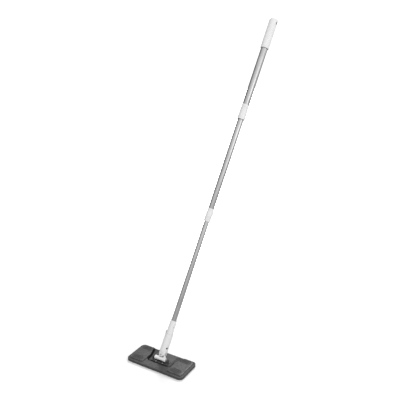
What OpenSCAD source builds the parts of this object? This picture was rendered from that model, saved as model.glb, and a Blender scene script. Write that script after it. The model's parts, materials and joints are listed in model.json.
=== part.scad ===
// Flat mop: a telescopic pole on a two-way joint, and a low head with a microfibre pad.
// Origin: centre of the pad's underside. +X runs along the head, +Y to its back, +Z up.

/* [Stance] */
// Lean of the pole from upright towards the back of the head, in degrees
lean_back = 22; // [0:1:45]
// Lean of the pole to the right, about the fork's pin, in degrees
lean_side = 8.5; // [-40:0.5:40]

/* [Head] */
// Length of the head
head_l = 238; // [225:1:260]
// Width of the head
head_w = 104; // [100:1:116]
// Radius of the head's corners in plan
head_r = 15; // [13:0.5:20]
// Thickness of the microfibre pad
pad_t = 4.2; // [3:0.1:6]
// Thickness of the foam sole
sole_t = 2; // [1.6:0.1:3]
// Thickness of the base plate
base_t = 2; // [1.6:0.1:3]
// Thickness of the top cover's flat parts
cover_t = 1.8; // [1.4:0.1:2.4]
// Width of the soft edge all round
edge_w = 4; // [3:0.5:6]
// Height of the raised wings above the flat parts
wing_rise = 4.6; // [4:0.1:8]

/* [Joint] */
// Length of the barrel
barrel_l = 46; // [36:1:48]
// Radius of the barrel
barrel_r = 7; // [5.5:0.5:7]
// Height of the barrel's axis above the floor
barrel_z = 20; // [18:0.5:22]
// Place of the barrel's axis in front of the head's centre line
barrel_y = -4; // [-6:0.5:0]
// Distance of the fork's pin behind the barrel's axis, square to the pole
pin_behind = 9; // [8.5:0.5:10]
// Distance of the fork's pin above the barrel's axis, along the pole
pin_above = 14.6; // [14.5:0.1:18]
// Radius of both joint pins
pin_r = 2; // [1.5:0.25:2.5]

/* [Pole] */
// Outer radius of the upper tube
upper_r = 12.5; // [12.5:0.1:13]
// Outer radius of the middle tube
middle_r = 11; // [10.8:0.1:11.2]
// Outer radius of the lower tube
lower_r = 9.5; // [9.3:0.1:9.7]
// Wall of every tube
tube_wall = 0.9; // [0.7:0.1:1]
// Radius of the grip
grip_r = 15.5; // [15:0.1:17]
// Length of the grip
grip_l = 113; // [100:1:130]
// Radius of the hanging hole
hang_r = 4.25; // [3:0.25:5]

/* [Hidden] */
$fn = 64;
eps = 0.02;
slip = 0.05;
fit_gap = 0.02;

// Heights of the head's layers
sole_z = pad_t;
base_z = sole_z + sole_t;
floor_z = base_z + base_t;
deck_z = floor_z + cover_t;
wing_z = deck_z + wing_rise;
hook_t = 0.8;
hook_l = 200;
hook_w = 24;
hook_r = 3;
hook_ys = [-28, 28];
hook_play = 0.2;
skin = 2;

// The recess round the joint
recess_hw = 50;
recess_front = -22;
recess_corner_r = 12;
recess_flare_y = 8;
recess_flare_hw = 66;

// Wings, grippers and screws
wing_in = recess_hw + 1.5;
wing_out = head_l / 2 - edge_w - 2.5;
wing_front = -(head_w / 2 - edge_w - 3.5);
wing_back = head_w / 2 - edge_w - 1.5;
wing_edge_r = 3;
wing_corner_r = 8;
grip_pad_l = 42;
grip_pad_w = 19;
grip_pad_x = 82;
grip_pad_ys = [wing_front + 15, wing_back - 15];
grip_pad_t = 2.2;
pocket_t = 2;
petal_gap = 0.7;
petal_xs = [-8, 0, 8];
screw_r = 1.5;
screw_head_r = 3;
screw_head_t = 1.2;
boss_r = 4;
screw_xs = [-96, -68, 68, 96];
cover_screw_l = 4;

// The axle and its bracket
axle_gap = 5;
cheek_t = 5;
cheek_in = barrel_l / 2 + axle_gap;
cheek_r = 5.5;
bracket_t = 2;
bracket_l = 2 * (cheek_in + cheek_t + 3);
bracket_w = 24;
bracket_screw_x = 14;
bracket_screw_y = 8.5;
bracket_screw_l = 3;
axle_end = cheek_in + cheek_t - 1;

// The fork, in the pole's own frame: z along the pole from the pin
eye_w = 9;
eye_r = 6.5;
leg_in = eye_w / 2 + 0.1;
front_leg_out = 12;
back_leg_out = 8.5;
front_leg_r = 7;
back_leg_r = 11.5;
leg_slope = 0.84;
rivet_head_r = 3.4;
rivet_head_t = 1;
web_hw = 14;
web_top = 5;
socket_r = 14.5;
socket_top = 78;
fork_root_z = 9.5;
spigot_r = 11;
spigot_gap = 0.1;
spigot_z = 22;
hollow_r = 8.6;
button_z = 27;
button_turn = -27;
button_r = 3.1;
button_edge = 0.6;
button_out = 0.7;
button_flange_r = 4.3;
flange_out = 7.3;
flange_t = 1.5;
spring_wire = 0.7;
spring_turns = 5;
spring_r = 2.8;
spring_start = -7.5;

// Lengths along the pole
adapter_top = 128;
adapter_pin_z = 105;
adapter_pin_r = 1.5;
adapter_pin_l = 23.2;
tube_seat_z = 84;
lower_nut_z = 505;
lower_nut_top = 554;
lower_nut_low_r = middle_r + 2.6;
lower_nut_high_r = middle_r + 0.8;
nut_ring_l = 7;
nut_ring_t = 0.4;
nut_ring_in = lower_nut_low_r + 0.1;
upper_nut_z = 893;
upper_nut_top = 949;
upper_nut_low_r = upper_r + 2.5;
upper_nut_high_r = upper_r + 0.8;
sleeve_t = 0.7;
upper_sleeve_l = 14;
lower_sleeve_l = 12;
finger_l = 8;
slit_w = 1;
bush_l = 6;
bush_plug_l = 14;
grip_z = 1163;
grip_top = grip_z + grip_l;
lower_tube_top = 620;
nut_cup = 11;
middle_tube_z = lower_nut_z + nut_cup;
middle_tube_top = 965;
upper_tube_z = upper_nut_z + nut_cup;
upper_tube_top = grip_top - 30;
hang_z = grip_top - 16;
thumb_turn = 45;
lock_rib_turn = 118;

// ---- frames ----

// The tee's frame: origin on the barrel's axis, z leaning back with the pole
module at_barrel() {
    translate([0, barrel_y, barrel_z]) rotate([-lean_back, 0, 0]) children();
}

// The pole's frame: origin on the fork's pin, z up the pole
module at_pin() {
    at_barrel() translate([0, pin_behind, pin_above]) rotate([0, lean_side, 0]) children();
}

// ---- shared shapes ----

module rounded_rect(l, w, r) {
    square([l - 2 * r, w], center = true);
    square([l, w - 2 * r], center = true);
    for (x = [-1, 1], y = [-1, 1]) translate([x * (l / 2 - r), y * (w / 2 - r)]) circle(r = r);
}

module slab(l, w, r, z, t) {
    translate([0, 0, z]) linear_extrude(t) rounded_rect(l, w, r);
}

module stadium(l, w) {
    square([l - w, w], center = true);
    for (x = [-1, 1]) translate([x * (l - w) / 2, 0]) circle(d = w);
}

// A round tube between two heights
module ring(r_out, r_in, z0, z1) {
    translate([0, 0, z0]) difference() {
        cylinder(r = r_out, h = z1 - z0);
        translate([0, 0, -1]) cylinder(r = r_in, h = z1 - z0 + 2);
    }
}

// A cylinder along x, centred
module x_rod(r, l) {
    rotate([0, 90, 0]) cylinder(r = r, h = l, center = true);
}

// A cylinder along y between two places
module y_rod(r, y0, y1) {
    translate([0, y1, 0]) rotate([90, 0, 0]) cylinder(r = r, h = y1 - y0);
}

// ---- head ----

// Plan of the recess: open at the back and flared, with rounded front corners
module recess_plan() {
    corner_x = recess_hw - recess_corner_r;
    corner_y = recess_front + recess_corner_r;
    back_y = head_w / 2 + 1;
    translate([-corner_x, recess_front]) square([2 * corner_x, back_y - recess_front]);
    translate([-recess_hw, corner_y]) square([2 * recess_hw, back_y - corner_y]);
    for (s = [-1, 1]) translate([s * corner_x, corner_y]) circle(r = recess_corner_r);
    polygon([
        [-recess_hw, recess_flare_y], [recess_hw, recess_flare_y],
        [recess_flare_hw, back_y], [-recess_flare_hw, back_y]
    ]);
}

// Body of one wing on the +x side, shrunk by inset on its sides, top at top_z
module wing_body(inset, top_z) {
    corners = [
        [wing_in, wing_front], [wing_out, wing_front], [wing_out, wing_back],
        [recess_flare_hw - 3, wing_back], [wing_in, recess_flare_y]
    ];
    mid = [(wing_in + wing_out) / 2, (wing_front + wing_back) / 2];
    r = wing_corner_r;
    hull() for (c = corners) {
        sx = sign(mid[0] - c[0]);
        sy = c[1] == recess_flare_y ? 0 : sign(mid[1] - c[1]);
        translate([c[0] + sx * r, c[1] + sy * r, floor_z]) cylinder(r = r - inset, h = eps, $fn = 32);
        translate([c[0] + sx * (r + 1.5), c[1] + sy * (r + 1.5), top_z - wing_edge_r])
            sphere(r = wing_edge_r, $fn = 24);
        translate([c[0] + sx * (r + 1.5), c[1] + sy * (r + 1.5), top_z - wing_edge_r - 1])
            cylinder(r = r - inset, h = 1, $fn = 32);
    }
}

module both_sides() {
    children();
    mirror([1, 0, 0]) children();
}

module at_grippers() {
    for (x = [-grip_pad_x, grip_pad_x], y = grip_pad_ys) translate([x, y, 0]) children();
}

module microfibre_pad() {
    color("dimgray") slab(head_l, head_w, head_r, 0, pad_t);
}

module hook_strips() {
    color("darkslategray") for (y = hook_ys) translate([0, y, 0]) slab(hook_l, hook_w, hook_r, sole_z, hook_t);
}

module foam_sole() {
    color("slategray") difference() {
        slab(head_l - 2 * edge_w, head_w - 2 * edge_w, head_r - edge_w, sole_z, sole_t);
        for (y = hook_ys) translate([0, y, 0])
            slab(hook_l + 2 * hook_play, hook_w + 2 * hook_play, hook_r + hook_play, sole_z - 1, hook_t + 1);
    }
}

module base_plate() {
    color("dimgray") difference() {
        slab(head_l - 2 * edge_w, head_w - 2 * edge_w, head_r - edge_w, base_z, base_t);
        for (x = screw_xs) translate([x, 0, base_z]) {
            translate([0, 0, -1]) cylinder(r = screw_r + slip, h = base_t + 2);
            translate([0, 0, -1]) cylinder(r = screw_head_r + slip, h = 1 + screw_head_t + slip);
        }
        for (x = [-bracket_screw_x, bracket_screw_x], y = [-bracket_screw_y, bracket_screw_y])
            translate([x, barrel_y + y, base_z + 0.6]) cylinder(r = screw_r + slip, h = base_t);
    }
}

// The soft edge wraps the sole, the plate and the cover, and dips where the recess opens
module edge_bumper() {
    dip_z = floor_z - 0.6;
    color("dimgray") difference() {
        slab(head_l, head_w, head_r, sole_z, deck_z - sole_z);
        slab(head_l - 2 * edge_w + fit_gap, head_w - 2 * edge_w + fit_gap, head_r - edge_w,
            sole_z - 1, deck_z - sole_z + 2);
        translate([0, head_w / 2, dip_z + 5]) cube([2 * recess_flare_hw - 4, 3 * edge_w, 10], center = true);
    }
}

module top_cover() {
    hollow_z = wing_z - pocket_t - skin;
    color("dimgray") difference() {
        union() {
            difference() {
                slab(head_l - 2 * edge_w, head_w - 2 * edge_w, head_r - edge_w, floor_z, cover_t);
                translate([0, 0, floor_z - 1]) linear_extrude(cover_t + 2) recess_plan();
            }
            both_sides() wing_body(0, wing_z);
        }
        difference() {
            translate([0, 0, -eps]) both_sides() wing_body(skin, hollow_z);
            for (x = screw_xs) translate([x, 0, floor_z - 1]) cylinder(r = boss_r, h = wing_rise + 4);
        }
        for (x = screw_xs) translate([x, 0, floor_z - 1]) cylinder(r = screw_r + slip, h = 4.5);
        at_grippers() translate([0, 0, wing_z - pocket_t]) linear_extrude(pocket_t + 1)
            stadium(grip_pad_l, grip_pad_w);
    }
}

// Soft rubber ovals cut into petals, which pinch a cloth pushed between them
module sheet_grippers() {
    color("darkslategray") at_grippers() difference() {
        translate([0, 0, wing_z - pocket_t]) linear_extrude(grip_pad_t)
            stadium(grip_pad_l - 2 * slip, grip_pad_w - 2 * slip);
        translate([0, 0, wing_z]) cube([grip_pad_l - 14, petal_gap, 2 * grip_pad_t], center = true);
        for (x = petal_xs) translate([x, 0, wing_z])
            cube([petal_gap, grip_pad_w - 5, 2 * grip_pad_t], center = true);
    }
}

// One pan-head screw pointing up, with its head's underside at z = 0
module screw(l) {
    translate([0, 0, -screw_head_t]) cylinder(r = screw_head_r, h = screw_head_t);
    cylinder(r = screw_r, h = l);
}

module cover_screws() {
    color("silver") for (x = screw_xs) translate([x, 0, base_z + screw_head_t])
        screw(cover_screw_l);
}

module axle_bracket() {
    color("dimgray") difference() {
        union() {
            translate([0, barrel_y, 0]) slab(bracket_l, bracket_w, 4, floor_z, bracket_t);
            for (s = [-1, 1]) translate([s * (cheek_in + cheek_t / 2), barrel_y, 0]) {
                translate([0, 0, barrel_z]) x_rod(cheek_r, cheek_t);
                translate([0, 0, (floor_z + barrel_z) / 2])
                    cube([cheek_t, 2 * cheek_r, barrel_z - floor_z], center = true);
            }
        }
        translate([0, barrel_y, barrel_z]) x_rod(pin_r + slip, 2 * (axle_end + slip));
        for (x = [-bracket_screw_x, bracket_screw_x], y = [-bracket_screw_y, bracket_screw_y])
            translate([x, barrel_y + y, floor_z - 1]) cylinder(r = screw_r + slip, h = bracket_t + 2);
    }
}

module bracket_screws() {
    color("silver")
        for (x = [-bracket_screw_x, bracket_screw_x], y = [-bracket_screw_y, bracket_screw_y])
            translate([x, barrel_y + y, floor_z + bracket_t]) mirror([0, 0, 1])
                screw(bracket_screw_l);
}

module barrel_axle() {
    color("silver") translate([0, barrel_y, barrel_z]) x_rod(pin_r, 2 * axle_end);
}

// ---- joint ----

// Tee: a barrel on the head's axle, and an arm cranked back to the fork's eye, on a wide web
module t_joint() {
    eye_front = pin_behind - eye_w / 2;
    eye_back = pin_behind + eye_w / 2;
    shelf_z = pin_above - front_leg_r - 0.6;
    web_front = 4;
    web_foot = 4;
    color("white") at_barrel() difference() {
        union() {
            x_rod(barrel_r, barrel_l);
            intersection() {
                rotate([90, 0, 90]) linear_extrude(2 * web_hw, center = true) polygon([
                    [-web_front, 0], [-web_front, 4.8], [eye_front - 3, shelf_z], [eye_front, shelf_z],
                    [eye_front, pin_above], [eye_back, pin_above], [eye_back, web_foot], [5, -web_foot]
                ]);
                translate([0, eye_back + 1, 0]) rotate([90, 0, 0]) linear_extrude(pin_behind + eye_w + 2) polygon([
                    [-web_hw, -barrel_r], [web_hw, -barrel_r], [web_hw, web_top],
                    [eye_r, pin_above], [-eye_r, pin_above], [-web_hw, web_top]
                ]);
            }
            translate([0, 0, pin_above]) y_rod(eye_r, eye_front, eye_back);
        }
        x_rod(pin_r + slip, barrel_l + 2);
        translate([0, 0, pin_above]) y_rod(pin_r + slip, eye_front - 1, eye_back + 1);
    }
}

module tilt_rivet() {
    color("silver") at_pin() {
        y_rod(pin_r, -front_leg_out, back_leg_out);
        y_rod(rivet_head_r, back_leg_out, back_leg_out + rivet_head_t);
        y_rod(rivet_head_r, -front_leg_out - rivet_head_t, -front_leg_out);
    }
}

// One fork leg between two places along y: a round foot, widening up to the socket
module fork_leg(r, y0, y1) {
    foot_hw = r * sqrt(1 + leg_slope * leg_slope);
    root_hw = foot_hw + leg_slope * fork_root_z;
    edge_x = r / sqrt(1 + leg_slope * leg_slope);
    y_rod(r, y0, y1);
    translate([0, y1, 0]) rotate([90, 0, 0]) linear_extrude(y1 - y0) polygon([
        [-edge_x, -leg_slope * edge_x], [edge_x, -leg_slope * edge_x],
        [root_hw, fork_root_z + 1], [-root_hw, fork_root_z + 1]
    ]);
}

module head_socket() {
    color("white") at_pin() difference() {
        union() {
            intersection() {
                union() {
                    fork_leg(front_leg_r, -front_leg_out, -leg_in);
                    fork_leg(back_leg_r, leg_in, back_leg_out);
                }
                cylinder(r = socket_r, h = 2 * socket_r, center = true);
            }
            translate([0, 0, fork_root_z]) cylinder(r = socket_r, h = socket_top - fork_root_z);
        }
        y_rod(pin_r + fit_gap, -socket_r, socket_r);
        translate([0, 0, spigot_z]) cylinder(r = spigot_r + spigot_gap, h = socket_top);
        rotate([0, 0, button_turn]) translate([0, 0, button_z]) rotate([0, 90, 0])
            cylinder(r = button_r + spigot_gap, h = 2 * socket_r);
    }
}

module pole_adapter() {
    lug_h = 9;
    lug_w = 4;
    lug_reach = socket_r + 1.4;
    lug_turn = button_turn - 125;
    seat_z = socket_top + 0.2;
    ring_h = 2.6;
    ring_r = 13.3;
    low_r = 12.4;
    high_r = 11.7;
    color("white") at_pin() difference() {
        union() {
            translate([0, 0, spigot_z + 1]) cylinder(r = spigot_r, h = socket_top - spigot_z);
            translate([0, 0, seat_z]) cylinder(r = ring_r, h = ring_h);
            translate([0, 0, seat_z + ring_h]) cylinder(r1 = low_r, r2 = high_r, h = adapter_top - seat_z - ring_h);
            rotate([0, 0, lug_turn]) translate([0, -lug_w / 2, seat_z]) cube([lug_reach, lug_w, lug_h]);
        }
        translate([0, 0, tube_seat_z]) cylinder(r = lower_r + fit_gap, h = adapter_top);
        translate([0, 0, spigot_z]) cylinder(r = hollow_r, h = tube_seat_z);
        rotate([0, 0, button_turn]) translate([0, 0, button_z]) rotate([0, 90, 0])
            cylinder(r = button_r + spigot_gap, h = 2 * socket_r);
        at_adapter_pin() x_rod(adapter_pin_r + slip, 2 * socket_r);
    }
}

module at_adapter_pin() {
    translate([0, 0, adapter_pin_z]) rotate([0, 0, button_turn]) children();
}

module adapter_pin() {
    color("silver") at_pin() at_adapter_pin() x_rod(adapter_pin_r, adapter_pin_l);
}

module snap_button() {
    tip = socket_r + button_out;
    color("darkslategray") at_pin() rotate([0, 0, button_turn]) translate([0, 0, button_z]) rotate([0, 90, 0]) {
        translate([0, 0, flange_out - flange_t]) cylinder(r = button_flange_r, h = flange_t);
        translate([0, 0, flange_out - eps]) cylinder(r = button_r, h = tip - button_edge - flange_out + eps);
        translate([0, 0, tip - button_edge - eps])
            cylinder(r1 = button_r, r2 = button_r - button_edge, h = button_edge + eps);
    }
}

// Coil spring of square wire between the button's flange and the far wall
module button_spring() {
    end = flange_out - flange_t - slip;
    pitch = (end - spring_start - spring_wire) / spring_turns;
    wire_angle = 360 * spring_wire / pitch;
    steps = 5;
    angles = [for (i = [0:steps]) wire_angle * i / steps];
    outer = spring_r + spring_wire / 2;
    inner = spring_r - spring_wire / 2;
    color("silver") at_pin() rotate([0, 0, button_turn]) translate([spring_start, 0, button_z]) rotate([0, 90, 0])
        linear_extrude(end - spring_start, twist = -360 * spring_turns, slices = 14 * spring_turns, $fn = 13)
            polygon(concat(
                [for (a = angles) outer * [cos(a), sin(a)]],
                [for (i = [steps:-1:0]) inner * [cos(angles[i]), sin(angles[i])]]
            ));
}

// ---- pole ----

module lower_tube() {
    color("lightgray") at_pin() difference() {
        ring(lower_r, lower_r - tube_wall, tube_seat_z, lower_tube_top);
        at_adapter_pin() x_rod(adapter_pin_r + slip, 4 * lower_r);
    }
}

// A split bush on a tube's top end, which keeps it centred in the next tube
module guide_bush(r_tube, r_out, z_top) {
    difference() {
        union() {
            translate([0, 0, z_top]) cylinder(r = r_out, h = bush_l);
            translate([0, 0, z_top - bush_plug_l]) cylinder(r = r_tube - tube_wall - fit_gap, h = bush_plug_l + 1);
        }
        translate([0, 0, z_top - bush_plug_l - 1]) cylinder(r = r_tube - tube_wall - 2, h = bush_plug_l + bush_l + 2);
    }
}

module lower_tube_bush() {
    color("white") at_pin() guide_bush(lower_r, middle_r - tube_wall - slip, lower_tube_top);
}

module middle_tube() {
    color("lightgray") at_pin() ring(middle_r, middle_r - tube_wall, middle_tube_z, middle_tube_top);
}

module middle_tube_bush() {
    color("white") at_pin() guide_bush(middle_r, upper_r - tube_wall - slip, middle_tube_top);
}

module upper_tube() {
    color("lightgray") at_pin() ring(upper_r, upper_r - tube_wall, upper_tube_z, upper_tube_top);
}

// Split collet: a sleeve on the outer tube's end, with fingers round the inner tube
module collet(r_outer_tube, r_inner_tube, tube_z, sleeve_l) {
    finger_z = tube_z - finger_l;
    sleeve_r = r_outer_tube + sleeve_t;
    difference() {
        union() {
            translate([0, 0, tube_z]) cylinder(r = sleeve_r, h = sleeve_l);
            translate([0, 0, finger_z]) cylinder(r1 = r_inner_tube + 1, r2 = sleeve_r, h = finger_l);
        }
        translate([0, 0, tube_z]) cylinder(r = r_outer_tube + fit_gap, h = sleeve_l + 1);
        translate([0, 0, finger_z - 1]) cylinder(r = r_inner_tube + slip, h = finger_l + 2);
        for (a = [0, 90]) rotate([0, 0, a]) translate([0, 0, finger_z + finger_l / 4])
            cube([4 * sleeve_r, slit_w, finger_l], center = true);
    }
}

module upper_collet() {
    color("white") at_pin() collet(upper_r, middle_r, upper_tube_z, upper_sleeve_l);
}

module lower_collet() {
    color("white") at_pin() collet(middle_r, lower_r, middle_tube_z, lower_sleeve_l);
}

// Long oval on the nut's side, sunk by depth below a cone from r_low at z0 to r_high at z1
module thumb_recess(r_low, r_high, z0, z1, l, w, depth) {
    intersection() {
        translate([0, 0, (z0 + z1) / 2]) rotate([90, 90, 0]) linear_extrude(40) stadium(l, w);
        difference() {
            translate([0, 0, z0 - 1]) cylinder(r = r_low + 6, h = z1 - z0 + 2);
            translate([0, 0, z0]) cylinder(r1 = r_low - depth, r2 = r_high - depth, h = z1 - z0);
            translate([0, 0, z0 - 2]) cylinder(r = r_low - depth, h = 2.01);
        }
    }
}

// Tapered twist nut over a collet, with two thumb ovals
module lock_nut(z0, z1, r_low, r_high, r_tube, r_next, sleeve_l, oval_z0, oval_z1) {
    tube_end = z0 + nut_cup;
    mouth_t = 2.5;
    oval_depth = 0.5;
    oval_w = 14;
    difference() {
        union() {
            translate([0, 0, z0]) cylinder(r1 = r_low, r2 = r_high, h = z1 - z0 - 1);
            translate([0, 0, z1 - 1]) cylinder(r1 = r_high, r2 = r_high - 0.4, h = 1);
        }
        translate([0, 0, z0 - 1]) cylinder(r = r_next + 0.3, h = z1 - z0);
        translate([0, 0, z0 + mouth_t])
            cylinder(r = r_tube + sleeve_t + slip, h = nut_cup + sleeve_l + 0.5 - mouth_t);
        translate([0, 0, tube_end]) cylinder(r = r_tube + slip, h = z1 - z0);
        for (a = [0, 180]) rotate([0, 0, a])
            thumb_recess(r_low, r_high, oval_z0, oval_z1, oval_z1 - oval_z0 - 1, oval_w, oval_depth);
    }
}

module upper_lock_nut() {
    color("white") at_pin() rotate([0, 0, thumb_turn])
        lock_nut(upper_nut_z, upper_nut_top, upper_nut_low_r, upper_nut_high_r, upper_r, middle_r,
            upper_sleeve_l, upper_nut_z + 13, upper_nut_top - 9);
}

module lower_lock_nut() {
    rib = [3.6, 2, 8];
    color("white") at_pin() {
        rotate([0, 0, thumb_turn])
            lock_nut(lower_nut_z, lower_nut_top, lower_nut_low_r, lower_nut_high_r, middle_r, lower_r,
                lower_sleeve_l, lower_nut_z + 19, lower_nut_top - 5);
        rotate([0, 0, lock_rib_turn - 90]) translate([lower_nut_high_r, -rib[1] / 2, lower_nut_z + 27]) cube(rib);
    }
}

module lower_nut_ring() {
    color("white") at_pin() ring(nut_ring_in + nut_ring_t, nut_ring_in, lower_nut_z, lower_nut_z + nut_ring_l);
}

// Rounded grip pressed over the upper tube, with a hole to hang the mop by
module grip() {
    dome = 7;
    color("white") at_pin() difference() {
        rotate_extrude() {
            translate([0, grip_z]) square([grip_r, grip_l - dome]);
            translate([0, grip_top - dome - eps]) square([grip_r - dome, dome + eps]);
            translate([grip_r - dome, grip_top - dome]) intersection() {
                circle(r = dome);
                square(dome + 1);
            }
        }
        translate([0, 0, grip_z - 1]) cylinder(r = upper_r + fit_gap, h = upper_tube_top + 0.2 - grip_z + 1);
        translate([0, 0, hang_z]) x_rod(hang_r, 3 * grip_r);
    }
}

microfibre_pad();
hook_strips();
foam_sole();
base_plate();
edge_bumper();
top_cover();
sheet_grippers();
cover_screws();
axle_bracket();
bracket_screws();
barrel_axle();
t_joint();
tilt_rivet();
head_socket();
pole_adapter();
adapter_pin();
snap_button();
button_spring();
lower_tube();
lower_tube_bush();
lower_collet();
lower_lock_nut();
lower_nut_ring();
middle_tube();
middle_tube_bush();
upper_collet();
upper_lock_nut();
upper_tube();
grip();
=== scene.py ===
"""Flat mop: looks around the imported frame, which is in metres. Shapes are worked out in millimetres."""
import json
import math

import bmesh
import bpy
import numpy as np
from mathutils import Matrix, Vector, noise


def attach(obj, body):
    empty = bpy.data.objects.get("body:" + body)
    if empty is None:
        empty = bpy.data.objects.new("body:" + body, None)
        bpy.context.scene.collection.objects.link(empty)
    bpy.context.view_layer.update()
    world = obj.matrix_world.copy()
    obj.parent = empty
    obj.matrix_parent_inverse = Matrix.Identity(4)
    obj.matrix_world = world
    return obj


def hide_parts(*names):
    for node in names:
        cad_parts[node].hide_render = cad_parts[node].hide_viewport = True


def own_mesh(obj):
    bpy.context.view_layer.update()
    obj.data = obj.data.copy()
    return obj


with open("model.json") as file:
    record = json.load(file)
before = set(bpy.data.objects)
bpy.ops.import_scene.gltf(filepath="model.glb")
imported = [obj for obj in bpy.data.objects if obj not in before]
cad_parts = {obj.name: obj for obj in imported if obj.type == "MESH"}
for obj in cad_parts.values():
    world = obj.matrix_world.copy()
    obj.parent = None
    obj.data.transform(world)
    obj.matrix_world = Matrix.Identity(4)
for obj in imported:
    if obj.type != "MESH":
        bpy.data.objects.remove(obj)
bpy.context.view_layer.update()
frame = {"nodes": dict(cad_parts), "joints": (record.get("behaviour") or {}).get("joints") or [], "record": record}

MM = 0.001

# ---- places, all read from the frame ----

JOINTS = {joint["name"]: joint for joint in frame["joints"]}
MOUNTS = {mount["name"]: mount for mount in frame["record"]["mounts"]}
POLE_AXIS = Vector(JOINTS["middle_slide"]["axis"]).normalized()
POLE_SIDE = Vector(MOUNTS["hang_hole"]["axis"]).normalized()
TILT_AXIS = -Vector(JOINTS["side_tilt"]["axis"]).normalized()
BUTTON_AXIS = -Vector(JOINTS["button_press"]["axis"]).normalized()
WORLD_X = Vector((1, 0, 0))

# Clearance round a pin or under a face, and a half length that goes through any part of the joint, in mm
SLIP = 0.05
THROUGH = 40.0


def local_frame(x_axis, z_axis, origin):
    """The matrix of a frame from its x and z axes, with its origin in metres."""
    y_axis = z_axis.cross(x_axis).normalized()
    turn = Matrix((x_axis, y_axis, z_axis)).transposed()
    return Matrix.Translation(origin) @ turn.to_4x4()


POLE = local_frame(POLE_SIDE, POLE_AXIS, Vector(JOINTS["side_tilt"]["pos_m"]))
TEE = local_frame(WORLD_X, WORLD_X.cross(TILT_AXIS), Vector(JOINTS["head_pitch"]["pos_m"]))
HEAD = Matrix.Identity(4)


def node_points(node, place):
    """The points of a CAD node in a local frame, in mm."""
    inverse = np.array(place.inverted())
    points = np.array([vertex.co for vertex in frame["nodes"][node].data.vertices])
    return (points @ inverse[:3, :3].T + inverse[:3, 3]) / MM


def node_span(node, place=HEAD):
    """Lowest and highest x, y and z of a CAD node."""
    points = node_points(node, place)
    return points.min(0), points.max(0)


def radius_above(node, place, height):
    """Largest distance of a CAD node from a local frame's z axis, above a height."""
    x, y, z = node_points(node, place).T
    return float(np.hypot(x, y)[z > height].max())


# ---- mesh helpers: a shape is (vertices, faces) in mm ----

def joined(*shapes):
    """Several shapes as one, each still its own closed shell."""
    vertices, faces = [], []
    for some_vertices, some_faces in shapes:
        shift = len(vertices)
        vertices.extend(tuple(v) for v in some_vertices)
        faces.extend(tuple(i + shift for i in face) for face in some_faces)
    return vertices, faces


def placed(shape, matrix):
    """The shape moved by a matrix whose lengths are in mm."""
    vertices = np.array(shape[0], float)
    m = np.array(matrix)
    return (vertices @ m[:3, :3].T + m[:3, 3]).tolist(), shape[1]


def moved(shape, x, y, z=0.0):
    return placed(shape, Matrix.Translation((x, y, z)))


def clean(mesh, sharp):
    """Merges doubles, turns normals outward, and shades smooth except at edges sharper than the angle."""
    bm = bmesh.new()
    bm.from_mesh(mesh)
    bmesh.ops.remove_doubles(bm, verts=bm.verts, dist=1e-6)
    bmesh.ops.dissolve_degenerate(bm, edges=bm.edges, dist=1e-7)
    loose = [edge for edge in bm.edges if not edge.link_faces]
    bmesh.ops.delete(bm, geom=loose, context="EDGES")
    bmesh.ops.recalc_face_normals(bm, faces=bm.faces)
    limit = math.radians(sharp)
    for face in bm.faces:
        face.smooth = True
    for edge in bm.edges:
        edge.smooth = len(edge.link_faces) == 2 and edge.calc_face_angle(0) < limit
    bm.to_mesh(mesh)
    bm.free()


def add_object(name, data):
    obj = bpy.data.objects.new(name, data)
    bpy.context.scene.collection.objects.link(obj)
    return obj


def mesh_object(name, shape, place=HEAD, sharp=35.0):
    vertices, faces = placed(shape, Matrix.Scale(MM, 4))
    vertices = placed((vertices, faces), place)[0]
    mesh = bpy.data.meshes.new(name)
    mesh.from_pydata(vertices, [], faces)
    mesh.update()
    clean(mesh, sharp)
    return add_object(name, mesh)


def apply_modifiers(obj):
    bpy.context.view_layer.update()
    evaluated = obj.evaluated_get(bpy.context.evaluated_depsgraph_get())
    mesh = bpy.data.meshes.new_from_object(evaluated)
    obj.modifiers.clear()
    obj.data = mesh


def cut(obj, cutter_shape, place, sharp=35.0, operation="DIFFERENCE"):
    """Takes a closed cutter shape out of a piece, or keeps only what lies inside it."""
    cutter = mesh_object("cutter", cutter_shape, place)
    modifier = obj.modifiers.new("cut", "BOOLEAN")
    modifier.operation = operation
    modifier.solver = "EXACT"
    modifier.object = cutter
    apply_modifiers(obj)
    bpy.data.objects.remove(cutter)
    clean(obj.data, sharp)


def shape_of(obj):
    """The object's mesh as a shape; the object itself is removed."""
    vertices = [tuple(vertex.co / MM) for vertex in obj.data.vertices]
    faces = [tuple(face.vertices) for face in obj.data.polygons]
    bpy.data.objects.remove(obj)
    return vertices, faces


def fused(shapes, voxel, rounds):
    """One soft-edged shape from overlapping closed shapes: remeshed in voxels, then smoothed."""
    obj = mesh_object("fused", joined(*shapes))
    remesh = obj.modifiers.new("remesh", "REMESH")
    remesh.mode = "VOXEL"
    remesh.voxel_size = voxel * MM
    smooth = obj.modifiers.new("smooth", "SMOOTH")
    smooth.factor = 0.5
    smooth.iterations = rounds
    apply_modifiers(obj)
    return shape_of(obj)


def add_piece(obj, body, slot, *replaced):
    """Puts a finished piece on its body, in its material, in place of the CAD nodes it stands for."""
    obj.data.materials.clear()
    obj.data.materials.append(SLOT_MATERIALS[slot])
    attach(obj, body)
    if replaced:
        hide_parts(*replaced)
    return obj


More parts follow.
